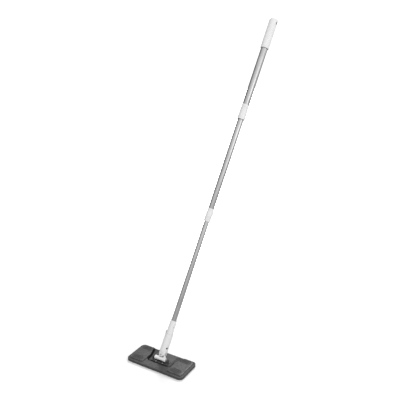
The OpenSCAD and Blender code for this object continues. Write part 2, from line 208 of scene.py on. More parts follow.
def filleted(corners):
    """A closed outline from (a, b, radius) corners, each corner rounded by its radius."""
    points = []
    for i, (a, b, radius) in enumerate(corners):
        here = Vector((a, b))
        if radius <= 0:
            points.append((a, b))
            continue
        before = Vector(corners[i - 1][:2]) - here
        after = Vector(corners[(i + 1) % len(corners)][:2]) - here
        reach = radius / math.tan(before.angle(after) / 2)
        reach = min(reach, 0.49 * before.length, 0.49 * after.length)
        start = here + before.normalized() * reach
        end = here + after.normalized() * reach
        steps = max(3, min(10, int(3 + radius)))
        for k in range(steps + 1):
            t = k / steps
            points.append(tuple(start * (1 - t) ** 2 + here * 2 * t * (1 - t) + end * t * t))
    return points


def densify(outline, step):
    """The same closed outline, with no edge longer than step."""
    points = []
    for i, here in enumerate(outline):
        after = outline[(i + 1) % len(outline)]
        parts = max(1, math.ceil(math.dist(here, after) / step))
        for k in range(parts):
            t = k / parts
            points.append((here[0] + (after[0] - here[0]) * t, here[1] + (after[1] - here[1]) * t))
    return points


def skinned(rings, wrapped):
    """Faces between one ring of points and the next: wrapped into a loop, or capped at both ends."""
    count, total = len(rings[0]), len(rings)
    faces = []
    for j in range(total if wrapped else total - 1):
        k = (j + 1) % total
        for i in range(count):
            n = (i + 1) % count
            faces.append((j * count + i, k * count + i, k * count + n, j * count + n))
    if not wrapped:
        faces += [tuple(range(count)), tuple(range((total - 1) * count, total * count))[::-1]]
    return [point for ring in rings for point in ring], faces


def lathe(outline, segments=96, push=None):
    """A closed outline of (radius, z) turned about z; push(angle, radius, z) moves points outward."""
    rings = []
    for j in range(segments):
        angle = 2 * math.pi * j / segments
        reach = [r + (push(angle, r, z) if push else 0) for r, z in outline]
        rings.append([(r * math.cos(angle), r * math.sin(angle), z) for r, (_, z) in zip(reach, outline)])
    return skinned(rings, True)


def prism(outline, low, high):
    """A flat outline of (x, y) pulled along z."""
    return skinned([[(x, y, z) for x, y in outline] for z in (low, high)], False)


def rod(radius, low, high, segments=48):
    return lathe([(0, low), (radius, low), (radius, high), (0, high)], segments)


ALONG_X = Matrix(((0, 0, 1, 0), (1, 0, 0, 0), (0, 1, 0, 0), (0, 0, 0, 1)))
ALONG_Y = Matrix(((1, 0, 0, 0), (0, 0, -1, 0), (0, 1, 0, 0), (0, 0, 0, 1)))


def smooth_step(value, low=0.0, high=1.0):
    t = np.clip((value - low) / (high - low), 0, 1)
    return t * t * (3 - 2 * t)


def ridge(distance, width):
    """1 on a line, falling smoothly to 0 over about its width."""
    return np.exp(-(distance / width) ** 2)


def box_distance(x, y, half_x, half_y, radius):
    """Signed distance to a rounded rectangle, negative inside."""
    dx, dy = np.abs(x) - half_x + radius, np.abs(y) - half_y + radius
    return np.hypot(np.maximum(dx, 0), np.maximum(dy, 0)) + np.minimum(np.maximum(dx, dy), 0) - radius


def polygon_distance(x, y, corners):
    """Signed distance to a convex polygon given anticlockwise, negative inside."""
    nearest = np.full(np.shape(x), 1e9)
    inside = np.full(np.shape(x), -1e9)
    for (ax, ay), (bx, by) in zip(corners, corners[1:] + corners[:1]):
        ex, ey = bx - ax, by - ay
        length = math.hypot(ex, ey)
        t = np.clip(((x - ax) * ex + (y - ay) * ey) / length ** 2, 0, 1)
        nearest = np.minimum(nearest, np.hypot(x - ax - t * ex, y - ay - t * ey))
        inside = np.maximum(inside, ((x - ax) * ey - (y - ay) * ex) / length)
    return np.where(inside < 0, inside, nearest)


def relief(half_x, half_y, radius, step, top, bottom):
    """A closed block, a rounded rectangle in plan, between the surfaces top(x, y) and bottom(x, y)."""
    ys = np.linspace(-half_y, half_y, int(2 * half_y / step) + 1)
    us = np.linspace(-1, 1, int(2 * half_x / step) + 1)
    over = np.maximum(np.abs(ys) - (half_y - radius), 0)
    reach = half_x - radius + np.sqrt(np.maximum(radius ** 2 - over ** 2, 0))
    x = us[None, :] * reach[:, None]
    y = np.repeat(ys[:, None], len(us), 1)
    rows, cols = x.shape
    upper = np.stack([x, y, top(x, y)], -1).reshape(-1, 3)
    lower = np.stack([x, y, bottom(x, y)], -1).reshape(-1, 3)
    shift = rows * cols
    faces = []
    for j in range(rows - 1):
        for i in range(cols - 1):
            a = j * cols + i
            faces.append((a, a + 1, a + cols + 1, a + cols))
            faces.append((shift + a, shift + a + cols, shift + a + cols + 1, shift + a + 1))
    rim = list(range(cols)) + [j * cols + cols - 1 for j in range(1, rows)]
    rim += [(rows - 1) * cols + i for i in range(cols - 2, -1, -1)]
    rim += [j * cols for j in range(rows - 2, 0, -1)]
    for a, b in zip(rim, rim[1:] + rim[:1]):
        faces.append((b, a, shift + a, shift + b))
    return np.concatenate([upper, lower]).tolist(), faces


def level(height):
    """A flat surface for relief()."""
    return lambda x, y: np.full_like(x, height)


def rounded_loop(half_x, half_y, radius, step):
    """Points round a rounded rectangle, each with its outward direction."""
    points = []
    centres = [(1, -1, -90), (1, 1, 0), (-1, 1, 90), (-1, -1, 180)]
    arc_steps = max(4, math.ceil(radius * math.pi / 2 / step))
    for i, (sx, sy, start) in enumerate(centres):
        cx, cy = sx * (half_x - radius), sy * (half_y - radius)
        for k in range(arc_steps + 1):
            angle = math.radians(start + 90 * k / arc_steps)
            nx, ny = math.cos(angle), math.sin(angle)
            points.append((cx + radius * nx, cy + radius * ny, nx, ny))
        straight = 2 * (half_y - radius) if i % 2 == 0 else 2 * (half_x - radius)
        nx, ny = math.cos(math.radians(start + 90)), math.sin(math.radians(start + 90))
        x0, y0 = points[-1][:2]
        parts = math.ceil(straight / step)
        for k in range(1, parts):
            along = straight * k / parts
            points.append((x0 - ny * along, y0 + nx * along, nx, ny))
    return points


def rounded_plan(half_x, half_y, radius, step):
    """The same rounded rectangle as a plain outline for prism()."""
    return [(x, y) for x, y, _, _ in rounded_loop(half_x, half_y, radius, step)]


def sweep(loop, outline, height=None):
    """Carries a closed outline of (outward, z) round a loop; height(x, y, z) may change each z."""
    rings = []
    for x, y, nx, ny in loop:
        ring = [(x + nx * out, y + ny * out, z) for out, z in outline]
        rings.append([(px, py, height(px, py, z)) for px, py, z in ring] if height else ring)
    return skinned(rings, True)


# ---- node materials ----

class Nodes:
    """A thin wrapper that builds a node tree."""

    def __init__(self, tree):
        self.tree = tree

    def node(self, kind, **values):
        made = self.tree.nodes.new(kind)
        for key, value in values.items():
            if key in made.inputs:
                made.inputs[key].default_value = value
            else:
                setattr(made, key, value)
        return made

    def link(self, output, target):
        self.tree.links.new(output, target)
        return target

    def put(self, value, target):
        """Links an output to an input, or sets the input to a plain number."""
        if isinstance(value, float):
            target.default_value = value
        else:
            self.link(value, target)

    def span(self, value, low, high, at=(0.0, 1.0), kind="LINEAR"):
        made = self.node("ShaderNodeMapRange", interpolation_type=kind)
        for key, number in (("From Min", at[0]), ("From Max", at[1]), ("To Min", low), ("To Max", high)):
            made.inputs[key].default_value = number
        self.link(value, made.inputs["Value"])
        return made.outputs["Result"]

    def seen(self, by_camera, by_object):
        """One value for what the camera sees directly, another for the light the object gets."""
        pick = self.node("ShaderNodeMix", data_type="FLOAT")
        self.link(self.node("ShaderNodeLightPath").outputs["Is Camera Ray"], pick.inputs[0])
        self.put(by_object, pick.inputs[2])
        self.put(by_camera, pick.inputs[3])
        return pick.outputs[0]


class Shader(Nodes):
    """A material's node tree around one Principled BSDF."""

    def __init__(self, name):
        self.material = bpy.data.materials.new(name)
        self.material.use_nodes = True
        super().__init__(self.material.node_tree)
        self.bsdf = self.tree.nodes["Principled BSDF"]
        self.coords = self.node("ShaderNodeTexCoord").outputs["Object"]

    def mapped(self, scale=(1, 1, 1), rotation=(0, 0, 0), vector=None):
        mapping = self.node("ShaderNodeMapping")
        mapping.inputs["Scale"].default_value = scale
        mapping.inputs["Rotation"].default_value = rotation
        self.link(vector or self.coords, mapping.inputs["Vector"])
        return mapping.outputs["Vector"]

    def noise(self, scale, detail=3.0, roughness=0.5, vector=None):
        made = self.node("ShaderNodeTexNoise", Scale=scale, Detail=detail, Roughness=roughness)
        self.link(vector or self.coords, made.inputs["Vector"])
        return made.outputs["Fac"]

    def cells(self, scale, vector=None):
        made = self.node("ShaderNodeTexVoronoi", Scale=scale)
        self.link(vector or self.coords, made.inputs["Vector"])
        return made.outputs["Distance"]

    def ramp(self, value, low, high, at=(0.35, 0.65)):
        """A grey from low to high as the value goes between the two places."""
        made = self.node("ShaderNodeValToRGB")
        for element, tone, position in zip(made.color_ramp.elements, (low, high), at):
            element.position = position
            element.color = (tone, tone, tone, 1)
        self.link(value, made.inputs["Fac"])
        return made.outputs["Color"]

    def times(self, color, factor):
        """The colour, multiplied by a value."""
        made = self.node("ShaderNodeMix", data_type="RGBA", blend_type="MULTIPLY")
        made.inputs[0].default_value = 1.0
        self.link(color, made.inputs[6])
        self.link(factor, made.inputs[7])
        return made.outputs[2]

    def shade(self, reach, darkest):
        """Painted shade: a colour factor, 1 in the open, falling to darkest in gaps and corners narrower than
        reach (metres).
        """
        made = self.node("ShaderNodeAmbientOcclusion", Distance=reach, samples=8)
        return self.span(made.outputs["AO"], darkest, 1.0, (0.15, 0.9))

    def wear_and_highlight(self, low, high):
        """low on flat and hollow places, rising to high on outer edges: partly wear, partly a painted highlight.
        """
        made = self.node("ShaderNodeNewGeometry")
        return self.span(made.outputs["Pointiness"], low, high, (0.505, 0.58))

    def bump(self, height, strength, distance, under=None):
        made = self.node("ShaderNodeBump", Strength=strength, Distance=distance)
        self.link(height, made.inputs["Height"])
        if under is not None:
            self.link(under, made.inputs["Normal"])
        return made.outputs["Normal"]

    def finish(self, color, roughness, normal=None, **values):
        """Puts the colour, roughness, normal and any other plain values on the surface."""
        self.link(color, self.bsdf.inputs["Base Color"])
        self.put(roughness, self.bsdf.inputs["Roughness"])
        if normal is not None:
            self.link(normal, self.bsdf.inputs["Normal"])
        for key, value in values.items():
            self.bsdf.inputs[key.replace("_", " ")].default_value = value
        return self.material


def white_plastic(name, tone, darkest=0.2, reach=0.006):
    """Moulded white plastic: nearly even, a little satin, with painted shade in its gaps."""
    s = Shader(name)
    cloud = s.ramp(s.noise(14.0), tone * 0.97, tone)
    # Painted shade in gaps and corners darkens the colour.
    color = s.times(cloud, s.shade(reach, darkest))
    satin = s.span(s.noise(160.0, 4.0), 0.22, 0.34)
    return s.finish(color, satin, s.bump(s.noise(1900.0, 2.0), 0.08, 0.0002))


def head_plastic(name, tone):
    """Dark grained plastic, mottled, streaked along a diagonal, lighter on its edges from wear and a painted
    highlight, darkened by painted shade and shadow in gaps and the moat, and lightened by a painted highlight on
    the wings' shoulders.
    """
    s = Shader(name)
    mottled = s.ramp(s.noise(150.0, 5.0, 0.62), tone * 0.62, tone * 1.42, (0.36, 0.66))
    diagonal = s.mapped(rotation=(0, 0, math.radians(-38)))
    streaks = s.noise(60.0, 3.0, 0.5, s.mapped(scale=(1, 9, 1), vector=diagonal))
    color = s.times(mottled, s.span(streaks, 0.74, 1.28, (0.3, 0.7)))
    color = s.times(color, s.span(s.noise(900.0, 2.0), 0.8, 1.18, (0.3, 0.7)))
    # Outer edges lighter: partly wear, partly a painted highlight.
    color = s.times(color, s.wear_and_highlight(1.0, 1.5))
    # The cover's attribute: painted shade and shadow darken the colour to 0.12 and turn the specular down; below
    # 0, a painted highlight lightens it up to 2.6 times.
    shade_and_highlight = s.node("ShaderNodeAttribute", attribute_name="shade_and_highlight").outputs["Fac"]
    color = s.times(color, s.span(shade_and_highlight, 1.0, 0.12))
    color = s.times(color, s.span(shade_and_highlight, 2.6, 1.0, (-1.0, 0.0)))
    # Painted shade in gaps and corners.
    color = s.times(color, s.shade(0.010, 0.45))
    s.link(s.span(shade_and_highlight, 0.5, 0.03), s.bsdf.inputs["Specular IOR Level"])
    leather = s.bump(s.noise(420.0, 3.0, 0.6), 0.5, 0.0004)
    grain = s.bump(s.noise(2100.0, 2.0), 0.3, 0.00015, leather)
    return s.finish(color, s.span(s.noise(320.0, 3.0), 0.46, 0.66), grain)


def rubber(name, tone, darkest=0.35):
    """Soft matt rubber with dusty patches, a fine skin and painted shade in its gaps."""
    s = Shader(name)
    dusty = s.ramp(s.noise(90.0, 5.0, 0.65), tone * 0.82, tone * 1.25)
    matt = s.span(s.noise(260.0, 3.0), 0.58, 0.8)
    # The colour carries painted shade in gaps and slits.
    return s.finish(s.times(dusty, s.shade(0.005, darkest)), matt, s.bump(s.noise(1700.0, 3.0), 0.3, 0.0002))


def microfibre(name, tone):
    """Looped microfibre: small tufts, soft sheen, uneven dye."""
    s = Shader(name)
    dye = s.ramp(s.noise(70.0, 5.0, 0.6), tone * 0.75, tone * 1.25)
    tufts = s.cells(620.0)
    color = s.times(dye, s.span(tufts, 1.15, 0.55, (0.0, 0.7)))
    fibres = s.bump(s.noise(2600.0, 3.0), 0.5, 0.0003)
    pile = s.bump(tufts, -0.8, 0.0008, fibres)
    return s.finish(color, 0.95, pile, Sheen_Weight=0.45, Sheen_Roughness=0.4)


def hook_tape(name, tone):
    """Woven tape under rows of small hooks."""
    s = Shader(name)
    bands = s.node("ShaderNodeTexWave", wave_type="BANDS", bands_direction="X", Scale=900.0, Distortion=0.6)
    s.link(s.coords, bands.inputs["Vector"])
    weave = bands.outputs["Fac"]
    return s.finish(s.ramp(weave, tone * 0.6, tone * 1.4), 0.6, s.bump(weave, 0.5, 0.0002))


def foam(name, tone):
    """Closed-cell foam, full of small pores."""
    s = Shader(name)
    pores = s.cells(900.0)
    color = s.ramp(pores, tone, tone * 0.55, (0.35, 0.75))
    return s.finish(color, 0.9, s.bump(pores, -0.7, 0.0005))


def drawn_aluminium(name, tone):
    """Satin aluminium tube with fine lines along the pole, a few faint scuffed bands and painted shade in its
    gaps.
    """
    s = Shader(name)
    turn = tuple(POLE.to_quaternion().inverted().to_euler())
    lines = s.noise(1300.0, 3.0, 0.6, s.mapped(scale=(1, 1, 0.012), vector=s.mapped(rotation=turn)))
    patches = s.span(s.noise(26.0, 4.0), 0.93, 1.05, (0.3, 0.7))
    color = s.times(s.ramp(lines, tone * 0.9, tone * 1.06, (0.3, 0.7)), patches)
    # Painted shade in gaps darkens the colour.
    color = s.times(color, s.shade(0.004, 0.3))
    return s.finish(color, s.span(lines, 0.27, 0.42), s.bump(lines, 0.16, 0.0001), Metallic=1.0)


def steel(name, tone):
    """Zinc-plated steel with faint cloudy tarnish and painted shade in its gaps."""
    s = Shader(name)
    cloud = s.ramp(s.noise(120.0, 4.0), tone * 0.8, tone)
    # Painted shade in gaps darkens the colour.
    color = s.times(cloud, s.shade(0.003, 0.4))
    return s.finish(color, s.span(s.noise(500.0, 3.0), 0.26, 0.42), Metallic=1.0)


# Each slot's material, with its tone and, for some, how dark the painted shade in its gaps is and how wide a gap
# counts
LOOKS = {
    "pad_fabric": (microfibre, 0.085),
    "hook_tape": (hook_tape, 0.035),
    "foam": (foam, 0.10),
    "edge_rubber": (rubber, 0.052),
    "gripper_rubber": (rubber, 0.034, 0.10),
    "head_plastic": (head_plastic, 0.045),
    "white_plastic": (white_plastic, 0.74),
    "grip_plastic": (white_plastic, 0.78, 0.06, 0.016),
    "dark_button": (rubber, 0.03),
    "bush_plastic": (white_plastic, 0.65),
    "tube_aluminium": (drawn_aluminium, 0.45),
    "steel": (steel, 0.55),
}
SLOT_MATERIALS = {slot: make(slot, *numbers) for slot, (make, *numbers) in LOOKS.items()}


def dress_nodes():
    """Puts its slot's material on every CAD node, for those that stay in sight."""
    for row in frame["record"]["subparts"]:
        node = frame["nodes"][row["node"]]
        node.data.materials.clear()
        node.data.materials.append(SLOT_MATERIALS[row["material_slot"]])


# ---- head ----

HALF_L, HALF_W, DECK_Z = node_span("edge_bumper")[1]
SOLE_Z = node_span("edge_bumper")[0][2]
COVER_L, COVER_W, WING_Z = node_span("top_cover")[1]
BASE_Z, FLOOR_Z = node_span("base_plate")[0][2], node_span("base_plate")[1][2]
EDGE_W = HALF_L - COVER_L
HEAD_R = 15.0
COVER_R = HEAD_R - EDGE_W
BARREL_Y = JOINTS["head_pitch"]["pos_m"][1] / MM

# Wings, the recess between them, the moat along their walls and the pedestal inside it
RECESS_HALF = 51.2
RECESS_FRONT = -22.0
RECESS_R = 12.0
FLARE_Y = 8.0
FLARE_SLOPE = 16 / 45
MOAT_Z = FLOOR_Z - 1.3
SHELL_T = 0.55
PEDESTAL_HALF = 42.5
PEDESTAL_FRONT = -16.0
PEDESTAL_R = 9.0
PEDESTAL_RISE = 0.9
SLAB_TOP = FLOOR_Z + 2.0
SLAB_HALF = (36.0, 12.0)
WING_R = 8.0
WING_SHOULDER = 3.8
WING_IN = 51.5
WING_OUT = COVER_L - 2.5
WING_FRONT = -(COVER_W - 3.5)
WING_BACK = COVER_W - 1.5
GRIPPER_HALF = (21.0, 9.5)
GRIPPER_T = 2.2
PETAL_XS = (-8.0, 0.0, 8.0)


def gripper_centres():
    """Centres of the four grippers, from the gripper node's own outline."""
    low, high = node_span("sheet_grippers")
    for x in (low[0] + GRIPPER_HALF[0], high[0] - GRIPPER_HALF[0]):
        for y in (low[1] + GRIPPER_HALF[1], high[1] - GRIPPER_HALF[1]):
            yield x, y


def gripper_distance(x, y):
    """Signed distance to a gripper's pocket, from its centre."""
    return box_distance(x, y, *GRIPPER_HALF, GRIPPER_HALF[1])


def wing_distance(x, y):
    """Signed distance to the nearer wing's foot, negative on the wing."""
    r = WING_R
    flare_x = WING_IN + (WING_BACK - r - FLARE_Y) * FLARE_SLOPE
    corners = [
        (WING_IN + r, WING_FRONT + r), (WING_OUT - r, WING_FRONT + r), (WING_OUT - r, WING_BACK - r),
        (flare_x + r, WING_BACK - r), (WING_IN + r, FLARE_Y),
    ]
    return polygon_distance(np.abs(x), y, corners) - r


def trough_distance(x, y, half_x, front, radius):
    """Signed distance to a rounded trough that runs out past the head's back."""
    back = HALF_W + 20
    return box_distance(x, y - (front + back) / 2, half_x, (back - front) / 2, radius)


def recess_distance(x, y):
    """Signed distance to the recess, which is open and flared at the back."""
    trough = trough_distance(x, y, RECESS_HALF, RECESS_FRONT, RECESS_R)
    flare = (np.abs(x) - RECESS_HALF - (y - FLARE_Y) * FLARE_SLOPE) / math.hypot(1, FLARE_SLOPE)
    return np.minimum(trough, np.maximum(flare, FLARE_Y - y))


def pedestal_distance(x, y):
    return trough_distance(x, y, PEDESTAL_HALF, PEDESTAL_FRONT, PEDESTAL_R)


def cover_height(x, y):
    """Top surface of the cover: deck, wings, recess, moat, pedestal, gripper pockets and rim groove."""
    edge = -box_distance(x, y, COVER_L, COVER_W, COVER_R)
    rim = np.clip(edge, 0, 1)
    z = DECK_Z - 0.1 - 0.6 * (1 - np.sqrt(rim * (2 - rim))) - 0.4 * ridge(edge - 1.9, 0.55)
    wing = np.clip(-wing_distance(x, y) / WING_SHOULDER, 0, 1)
    crown = 0.35 * smooth_step(-wing_distance(x, y), 3, 26)
    z = z + (WING_Z - DECK_Z) * np.sin(wing * math.pi / 2) + crown
    for cx, cy in gripper_centres():
        pocket = gripper_distance(x - cx, y - cy)
        z = z - (GRIPPER_T - 0.2) * smooth_step(-pocket, -0.7, 0.5) + 0.25 * ridge(pocket - 1.2, 0.8)
    slab = box_distance(x, y - BARREL_Y, *SLAB_HALF, 4)
    raised = FLOOR_Z - SLIP + PEDESTAL_RISE * smooth_step(slab, 0.1, 1.2)
    floor = MOAT_Z + (raised - MOAT_Z) * smooth_step(-pedestal_distance(x, y), 0, 1.8)
    inside = smooth_step(-recess_distance(x, y), -0.4, 1.4)
    return z + (floor - z) * inside


def cover_shade_and_highlight(x, y):
    """Painted shade and shadow on the cover, most of it in the moat by the wings' inner walls; below 0 where a
    painted highlight lightens a wing's shoulder.
    """
    inside = -recess_distance(x, y)
    # Painted shadow in the moat and down the wings' inner walls, kept off the pedestal.
    moat = smooth_step(inside, -0.6, 0.8) * (1 - 0.6 * smooth_step(inside, 2.5, 8.0))
    wall = smooth_step(inside, -3.6, 0.4) * smooth_step(-wing_distance(x, y), -3, 0.5)
    moat = np.maximum(moat, wall * (inside < 0.8)) * smooth_step(pedestal_distance(x, y), -0.8, 0.4)
    # Painted shade in the grooves round the gripper pockets.
    pockets = np.zeros_like(x)
    for cx, cy in gripper_centres():
        pockets = np.maximum(pockets, ridge(gripper_distance(x - cx, y - cy), 0.5))
    # Painted shade along the foot of each wing, outside the recess.
    foot = 0.3 * ridge(wing_distance(x, y) + 0.4, 1.0) * (inside < 0)
    # Painted highlight along each wing's shoulder, strongest towards its outer end.
    outer = smooth_step(np.abs(x), WING_OUT - 8, WING_OUT - 2)
    shoulder_highlight = ridge(wing_distance(x, y) + 2.6, 1.3) * (0.25 + 0.75 * outer) * (inside < -1)
    return np.clip(moat + 0.25 * pockets + foot, 0, 1) - shoulder_highlight


def cover_underside(x, y):
    return np.minimum(FLOOR_Z, cover_height(x, y) - SHELL_T)


def top_cover():
    shape = relief(COVER_L - SLIP, COVER_W - SLIP, COVER_R, 0.85, cover_height, cover_underside)
    obj = mesh_object("top_cover_shell", shape, HEAD, 60)
    points = np.array([vertex.co for vertex in obj.data.vertices]) / MM
    # The painted shade and shadow, and below 0 the painted highlight, stored on each vertex for the cover's
    # material.
    shade_and_highlight = obj.data.attributes.new("shade_and_highlight", "FLOAT", "POINT")
    shade_and_highlight.data.foreach_set("value", cover_shade_and_highlight(points[:, 0], points[:, 1]).astype(np.float32))
    add_piece(obj, "head", "head_plastic", "top_cover")


def base_plate():
    """Base plate, stepped down under the recess so that it clears the moat."""
    def top(x, y):
        return np.where(recess_distance(x, y) < 4, MOAT_Z - SHELL_T, FLOOR_Z) - SLIP
    shape = relief(COVER_L - SLIP, COVER_W - SLIP, COVER_R, 2.0, top, level(BASE_Z))
    add_piece(mesh_object("base_tray", shape, HEAD, 60), "head", "head_plastic", "base_plate")


def edge_bumper():
    """Rubber edge: a rolled lip, a shallow groove along its side, and a dip across the open recess."""
    dip_half = WING_IN + (WING_BACK - FLARE_Y) * FLARE_SLOPE
    dip_z = FLOOR_Z - 0.4
    height = DECK_Z - SOLE_Z
    groove = 0.55
    outline = filleted([
        (-EDGE_W, SOLE_Z, 0.3), (0, SOLE_Z, 1.0), (0, SOLE_Z + 0.40 * height, 0.3),
        (-groove, SOLE_Z + 0.46 * height, 0.3), (-groove, SOLE_Z + 0.56 * height, 0.3),
        (0, SOLE_Z + 0.62 * height, 0.3), (0, DECK_Z, 1.6), (-EDGE_W, DECK_Z, 0.7),
    ])

    def dipped(x, y, z):
        behind = float(smooth_step(y, HALF_W - 12, HALF_W - 7))
        between = float(1 - smooth_step(abs(x), dip_half - 4, dip_half + 4))
        lowered = SOLE_Z + (z - SOLE_Z) * (dip_z - SOLE_Z) / height
        return z + (lowered - z) * behind * between

    loop = rounded_loop(HALF_L, HALF_W, HEAD_R, 2.0)
    obj = mesh_object("edge_band", sweep(loop, outline, dipped), HEAD, 50)
    add_piece(obj, "head", "edge_rubber", "edge_bumper")


def sheet_grippers():
    """Domed rubber ovals, slit into petals."""
    half_x, half_y = GRIPPER_HALF[0] - 0.15, GRIPPER_HALF[1] - 0.15
    base = WING_Z - GRIPPER_T + 0.3
    slit_w, slit_depth = 0.42, 1.5

    def domed(x, y):
        edge = -box_distance(x, y, half_x, half_y, half_y)
        z = WING_Z + 0.15 + 0.5 * smooth_step(edge, 0, 7) - 0.7 * (1 - smooth_step(edge, 0, 1.1))
        slit = ridge(y, slit_w) * (np.abs(x) < 15)
        for px in PETAL_XS:
            slit = np.maximum(slit, ridge(x - px, slit_w) * (np.abs(y) < 6.8))
        return z - slit_depth * slit

    oval = relief(half_x, half_y, half_y, 0.5, domed, level(base))
    shape = joined(*[moved(oval, cx, cy) for cx, cy in gripper_centres()])
    add_piece(mesh_object("gripper_ovals", shape, HEAD, 60), "head", "gripper_rubber", "sheet_grippers")


# ---- joint ----

# Radii of the pole's own parts, and the places of its pins, lug, thumb ovals and rib
UPPER_R, MIDDLE_R, LOWER_R = (node_span(size + "_tube", POLE)[1][0] for size in ("upper", "middle", "lower"))
TUBE_WALL = 0.9
NUT_CUP = 11.0
BUTTON_R = 3.1
SCREW_R = 1.5
SCREW_HEAD_R = 3.0
ADAPTER_PIN_Z = 105.0
ADAPTER_PIN_R = 1.5
ADAPTER_BORE = 8.6
TUBE_SEAT = 84.0
LUG_TURN = math.radians(-152)
THUMB_TURN = math.radians(-55)
RIB_WAY = Vector((math.cos(math.radians(28)), math.sin(math.radians(28)), 0))

BUTTON_LOW, BUTTON_HIGH = node_span("snap_button", POLE)
BUTTON_Z = (BUTTON_LOW[2] + BUTTON_HIGH[2]) / 2
BUTTON = local_frame(POLE_AXIS, BUTTON_AXIS, POLE @ Vector((0, 0, BUTTON_Z * MM)))
CROSS_PIN = local_frame(POLE_AXIS, BUTTON_AXIS, POLE @ Vector((0, 0, ADAPTER_PIN_Z * MM)))
PIN_R = 2.0
SOCKET_R = radius_above("head_socket", POLE, 30)
SOCKET_TOP = node_span("head_socket", POLE)[1][2]
FORK_ROOT = 9.5
FRONT_LEG = (7.0, -12.0, -4.6)
BACK_LEG = (11.5, 4.6, 8.5)
LEG_SLOPE = 0.84
SPIGOT_R = 11.0
SPIGOT_Z = 22.0
EYE_W = 9.0
EYE_R = 6.5
BARREL_HALF, TEE_BACK, TEE_TOP = node_span("t_joint", TEE)[1]
PIN_BEHIND = TEE_BACK - EYE_W / 2
PIN_ABOVE = TEE_TOP - EYE_R
BARREL_R = 7.0
WEB_HALF = 14.0


def leg_shape(radius, y0, y1):
    """One fork leg: a round foot that widens towards the socket, between two places along y."""
    slant = math.hypot(1, LEG_SLOPE)
    foot = [(radius * math.sin(a), -radius * math.cos(a))
            for a in np.linspace(-math.atan(1 / LEG_SLOPE), math.atan(1 / LEG_SLOPE), 25)]
    root = FORK_ROOT + 3
    half = radius * slant + LEG_SLOPE * root
    outline = foot + [(half, root), (-half, root)]
    return placed(prism(outline, -y1, -y0), ALONG_Y)


def head_socket():
    """Socket tube with its two fork legs, soft where they meet, bored for the pin, spigot and button."""
    keep = rod(SOCKET_R - SLIP, -THROUGH, THROUGH, 128)
    parts = [lathe(filleted([
        (0, FORK_ROOT, 0), (SOCKET_R, FORK_ROOT, 0.8), (SOCKET_R, SOCKET_TOP, 1.2), (0, SOCKET_TOP, 0),
    ]), 128)]
    for leg in (FRONT_LEG, BACK_LEG):
        obj = mesh_object("leg", leg_shape(*leg))
        cut(obj, keep, HEAD, operation="INTERSECT")
        parts.append(shape_of(obj))
    obj = mesh_object("fork_socket", fused(parts, 0.42, 5), POLE, 40)
    bore_r, lead_in = SPIGOT_R + 0.1, SPIGOT_R + 0.9
    bore = lathe(filleted([
        (0, SPIGOT_Z, 0), (bore_r, SPIGOT_Z, 0), (bore_r, SOCKET_TOP - 1.4, 0),
        (lead_in, SOCKET_TOP + 0.2, 0), (lead_in, SOCKET_TOP + 5, 0), (0, SOCKET_TOP + 5, 0),
    ]), 96)
    cut(obj, bore, POLE, 40)
    cut(obj, placed(rod(PIN_R + SLIP, -THROUGH, THROUGH), ALONG_Y), POLE, 40)
    button_r, dish = BUTTON_R + 0.35, 1.4
    hole = lathe([
        (0, 0), (button_r, 0), (button_r, SOCKET_R - 0.7), (button_r + dish, SOCKET_R + 0.5),
        (button_r + dish, SOCKET_R + 8), (0, SOCKET_R + 8),
    ], 48)
    cut(obj, hole, BUTTON, 40)
    add_piece(obj, "lower_stage", "white_plastic", "head_socket")


def t_joint():
    """Barrel with thicker end collars, and a flared web up to the fork's eye."""
    waist = BARREL_R - 0.7
    barrel = placed(lathe(filleted([
        (0, -BARREL_HALF, 0), (BARREL_R, -BARREL_HALF, 0.8), (BARREL_R, -BARREL_HALF + 5, 0.4),
        (waist, -BARREL_HALF + 6, 0.4), (waist, BARREL_HALF - 6, 0.4),
        (BARREL_R, BARREL_HALF - 5, 0.4), (BARREL_R, BARREL_HALF, 0.8), (0, BARREL_HALF, 0),
    ]), 96), ALONG_X)
    front, back = PIN_BEHIND - EYE_W / 2, PIN_BEHIND + EYE_W / 2
    shelf = PIN_ABOVE - FRONT_LEG[0] - 0.7
    side = [(-4, 0), (5, -4), (back, 4), (back, PIN_ABOVE), (front, PIN_ABOVE)]
    side += [(front, shelf), (front - 3, shelf), (-4, 4.8)]
    web = mesh_object("web", placed(prism(side, -WEB_HALF, WEB_HALF), ALONG_X))
    flare = [(-WEB_HALF, -8), (WEB_HALF, -8), (WEB_HALF, 5)]
    flare += [(EYE_R, PIN_ABOVE), (-EYE_R, PIN_ABOVE), (-WEB_HALF, 5)]
    cut(web, placed(prism(flare, -THROUGH, THROUGH), ALONG_Y), HEAD, operation="INTERSECT")
    eye = moved(placed(rod(EYE_R, -back, -front, 64), ALONG_Y), 0, 0, PIN_ABOVE)
    obj = mesh_object("swivel_tee", fused([barrel, shape_of(web), eye], 0.42, 5), TEE, 40)
    pin = rod(PIN_R + SLIP, -THROUGH, THROUGH)
    cut(obj, placed(pin, ALONG_X), TEE, 40)
    cut(obj, moved(placed(pin, ALONG_Y), 0, 0, PIN_ABOVE), TEE, 40)
    add_piece(obj, "tee", "white_plastic", "t_joint")


def tilt_rivet():
    """Rivet with domed heads."""
    low, high = node_span("tilt_rivet", POLE)
    head_r, head_t = high[0], 1.0
    front, back = -low[1], -high[1]
    dome = [(head_r * math.sin(a), head_t * (1 - math.cos(a))) for a in (0, 0.5, 1.0, 1.3, math.pi / 2)]
    outline = [(r, back + rise) for r, rise in dome] + [(PIN_R, back + head_t), (PIN_R, front - head_t)]
    outline += [(r, front - rise) for r, rise in dome[::-1]]
    shape = placed(lathe(outline, 48), ALONG_Y)
    add_piece(mesh_object("tilt_rivet_domed", shape, POLE, 50), "lower_stage", "steel", "tilt_rivet")


